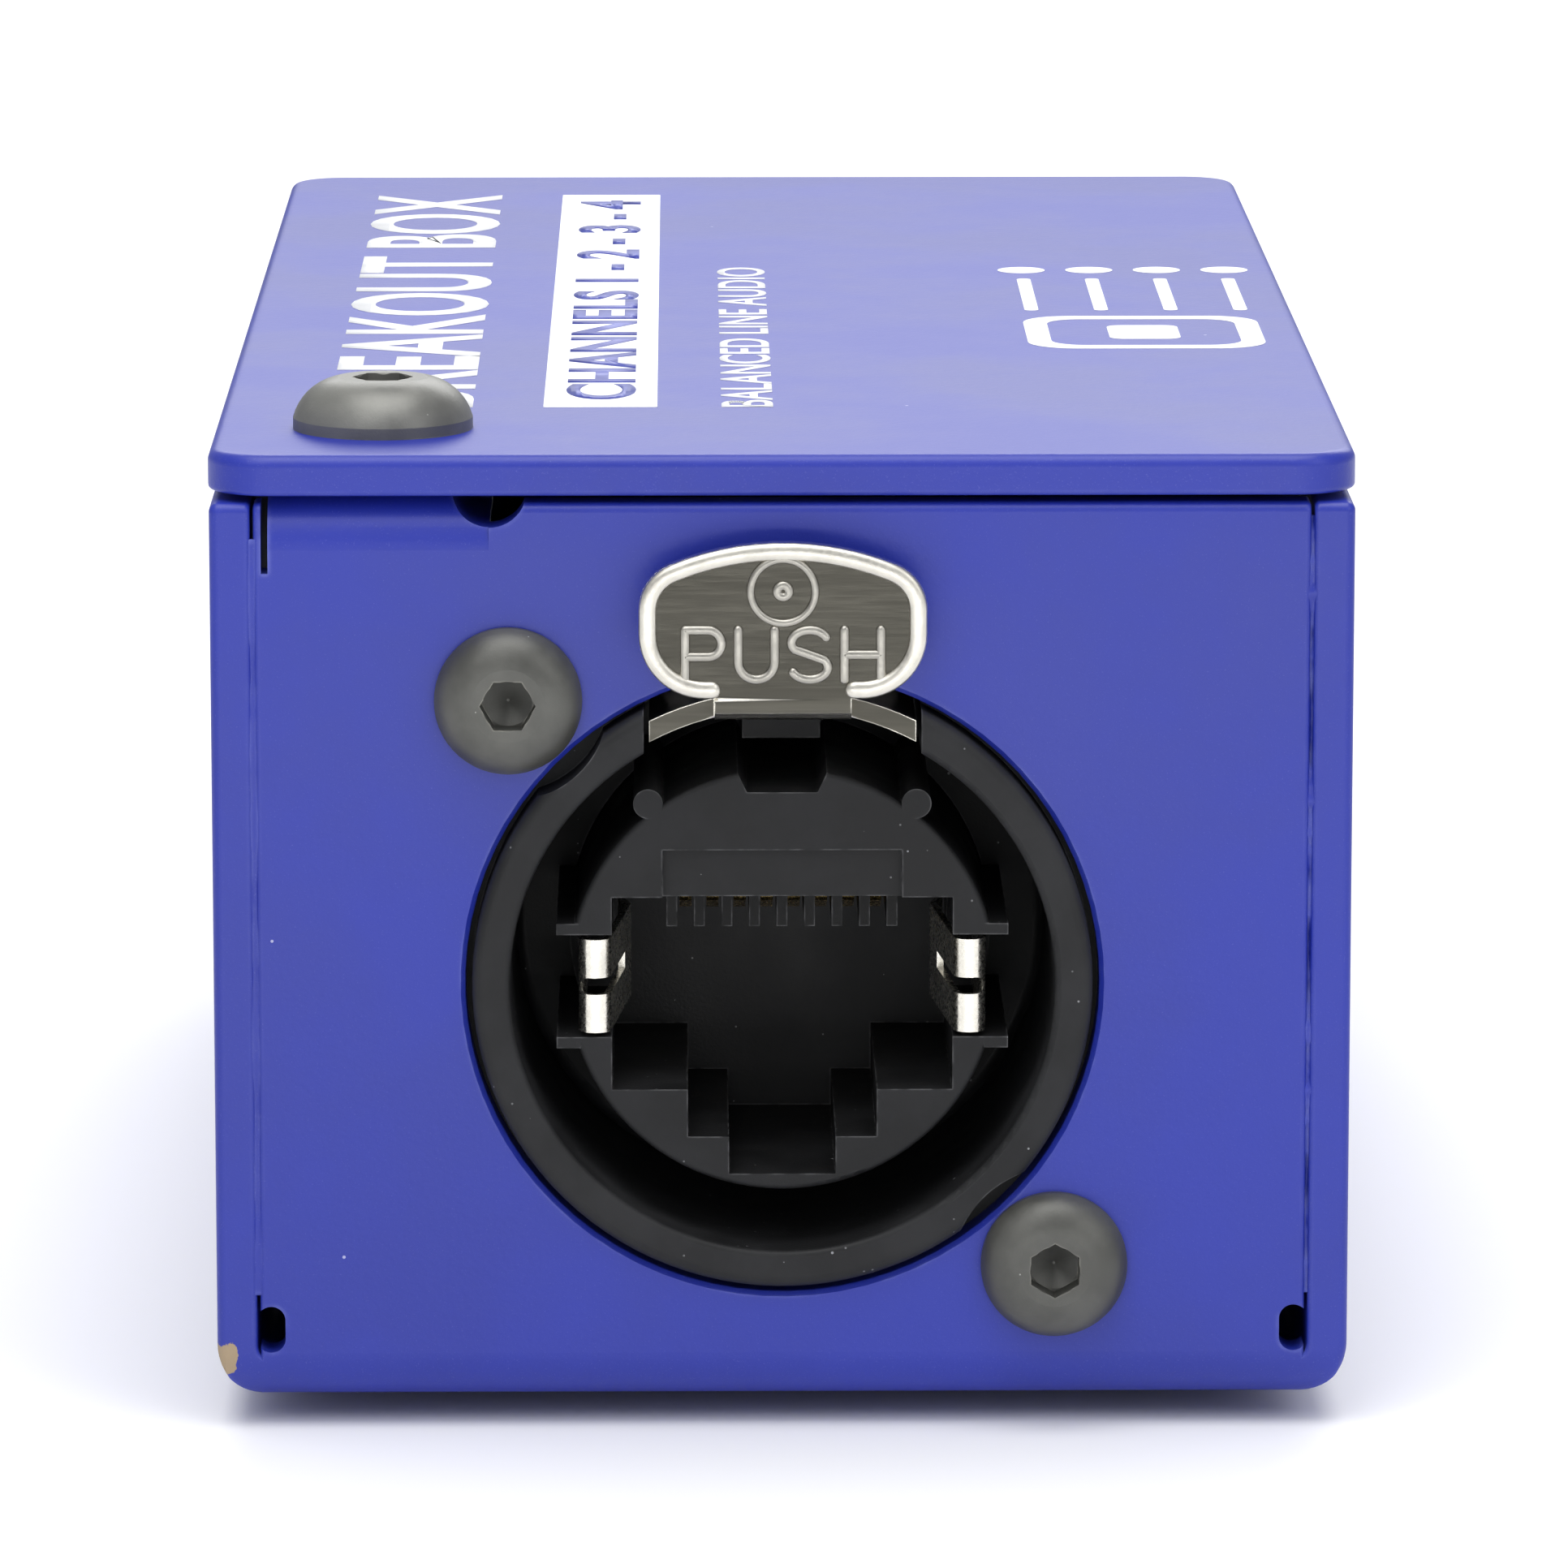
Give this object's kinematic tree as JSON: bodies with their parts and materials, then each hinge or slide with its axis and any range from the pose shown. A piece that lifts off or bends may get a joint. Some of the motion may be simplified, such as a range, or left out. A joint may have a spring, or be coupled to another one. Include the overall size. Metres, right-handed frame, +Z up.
{
  "type": "audio breakout box",
  "caption": "Folded steel breakout box: painted tray and screw-down lid, round locking data socket with push latch in front, cable gland in the rear wall.",
  "frame": {"origin": "centre of the underside of the rubber base pad, under the middle of the case's width and depth", "axes": "+X to the right seen from the front, the socket faces -Y and the cable gland +Y, +Z up"},
  "size_m": [0.0422, 0.1041, 0.0385],
  "materials": {
    "painted_steel": "satin powder coat",
    "black_plastic": "fine moulded texture",
    "black_screw": "black oxide",
    "nickel": "nickel plated",
    "zinc": "zinc plated",
    "gold": "gold plated",
    "board": "solder mask",
    "pad_rubber": "matte",
    "wire": "insulated wire"
  },
  "bodies": {
    "case": {"case_tray": "painted_steel", "lid": "painted_steel", "lid_screw": "black_screw", "lid_clinch_nut": "zinc", "base_pad": "pad_rubber", "connector_shell": "black_plastic", "connector_screws": "black_screw", "connector_nuts": "zinc", "jack_insert": "black_plastic", "jack_contacts": "gold", "contact_carrier": "black_plastic", "shield_spring_left": "nickel", "shield_spring_right": "nickel", "latch_pin": "zinc", "latch_spring": "zinc", "circuit_board": "board", "board_screws": "zinc", "board_header": "black_plastic", "header_pins": "gold", "earth_tag": "zinc", "earth_wire": "wire", "gland_body": "black_plastic", "gland_gasket": "pad_rubber", "gland_locknut": "black_plastic", "gland_seal": "pad_rubber", "gland_cap": "black_plastic"},
    "latch": {"latch_lever": "nickel"}
  },
  "joints": [
    {"name": "latch_press", "type": "hinge", "parent": "case", "child": "latch", "pos_m": [0, -0.0334, 0.0282], "axis": [-1, 0, 0], "range_deg": [0, 3.5], "stiffness_Nm_per_rad": 0.2, "springref_deg": -5.73, "deforming": ["latch_spring"]}
  ]
}
